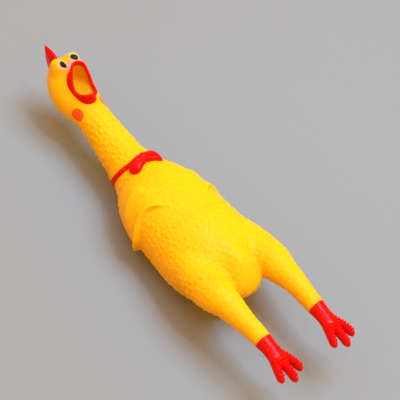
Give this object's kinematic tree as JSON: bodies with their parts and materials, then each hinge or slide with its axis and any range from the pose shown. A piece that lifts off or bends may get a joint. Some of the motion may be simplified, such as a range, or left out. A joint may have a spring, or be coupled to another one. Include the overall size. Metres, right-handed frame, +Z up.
{
  "type": "rubber chicken",
  "caption": "Hollow vinyl plucked chicken prop lying on its back, with an open beak, a bow tie, floppy neck and legs, a soft breast and a reed noise maker in its neck.",
  "frame": {"origin": "centre of the bottom of the bounding box, on the surface that the chicken's back lies on", "axes": "+X from the head to the feet, +Z up through the breast, +Y to the chicken's left"},
  "size_m": [0.31, 0.0776, 0.0669],
  "materials": {
    "yellow_vinyl": "soft moulded vinyl, satin",
    "red_paint": "red paint on vinyl, glossy",
    "orange_paint": "sprayed orange-red paint on vinyl, satin",
    "black_paint": "black paint on vinyl, glossy",
    "reed_plastic": "off-white plastic"
  },
  "bodies": {
    "torso": {"torso_skin": "yellow_vinyl", "left_wing": "yellow_vinyl", "right_wing": "yellow_vinyl"},
    "breast": {"breast_panel": "yellow_vinyl"},
    "collar": {"collar_band": "red_paint", "bow_tie": "red_paint"},
    "neck": {"neck_skin": "yellow_vinyl", "squeaker_tube": "reed_plastic", "squeaker_cap": "reed_plastic", "reed_seat": "reed_plastic", "reed_wedge": "reed_plastic"},
    "reed": {"reed_tongue": "reed_plastic"},
    "head": {"head_skin": "yellow_vinyl", "comb": "red_paint", "beak_rim": "red_paint", "left_eye": "black_paint", "right_eye": "black_paint", "left_earlobe": "orange_paint", "right_earlobe": "orange_paint"},
    "left_leg": {"left_leg_skin": "yellow_vinyl"},
    "right_leg": {"right_leg_skin": "yellow_vinyl"},
    "left_foot": {"left_foot": "red_paint"},
    "right_foot": {"right_foot": "red_paint"}
  },
  "joints": [
    {"name": "neck_sway", "type": "hinge", "parent": "torso", "child": "collar", "pos_m": [-0.046, 0, 0.0275], "axis": [0, 0, 1], "range_deg": [-18, 18], "stiffness_Nm_per_rad": 0.5},
    {"name": "neck_nod", "type": "hinge", "parent": "collar", "child": "neck", "pos_m": [-0.046, 0, 0.0275], "axis": [0, 1, 0], "range_deg": [-25, 20], "stiffness_Nm_per_rad": 0.6},
    {"name": "head_nod", "type": "hinge", "parent": "neck", "child": "head", "pos_m": [-0.1, 0, 0.036], "axis": [0, 1, 0], "range_deg": [-20, 20], "stiffness_Nm_per_rad": 0.35},
    {"name": "left_hip", "type": "hinge", "parent": "torso", "child": "left_leg", "pos_m": [0.071, 0.0253, 0.0392], "axis": [0, -1, 0], "range_deg": [-25, 26], "stiffness_Nm_per_rad": 0.4},
    {"name": "right_hip", "type": "hinge", "parent": "torso", "child": "right_leg", "pos_m": [0.071, -0.0253, 0.0392], "axis": [0, -1, 0], "range_deg": [-25, 26], "stiffness_Nm_per_rad": 0.4},
    {"name": "left_ankle", "type": "hinge", "parent": "left_leg", "child": "left_foot", "pos_m": [0.119, 0.0248, 0.045], "axis": [0, -1, 0], "range_deg": [-25, 25], "stiffness_Nm_per_rad": 0.1},
    {"name": "right_ankle", "type": "hinge", "parent": "right_leg", "child": "right_foot", "pos_m": [0.119, -0.0248, 0.045], "axis": [0, -1, 0], "range_deg": [-25, 25], "stiffness_Nm_per_rad": 0.1},
    {"name": "breast_squeeze", "type": "slide", "parent": "torso", "child": "breast", "axis": [0, 0, -1], "range_m": [0, 0.012], "stiffness_N_per_m": 800},
    {"name": "reed_flutter", "type": "hinge", "parent": "neck", "child": "reed", "pos_m": [-0.07894, 0.00047, 0.03268], "axis": [0.1555, 0, 0.9878], "range_deg": [-0.8, 4], "stiffness_Nm_per_rad": 0.002}
  ]
}
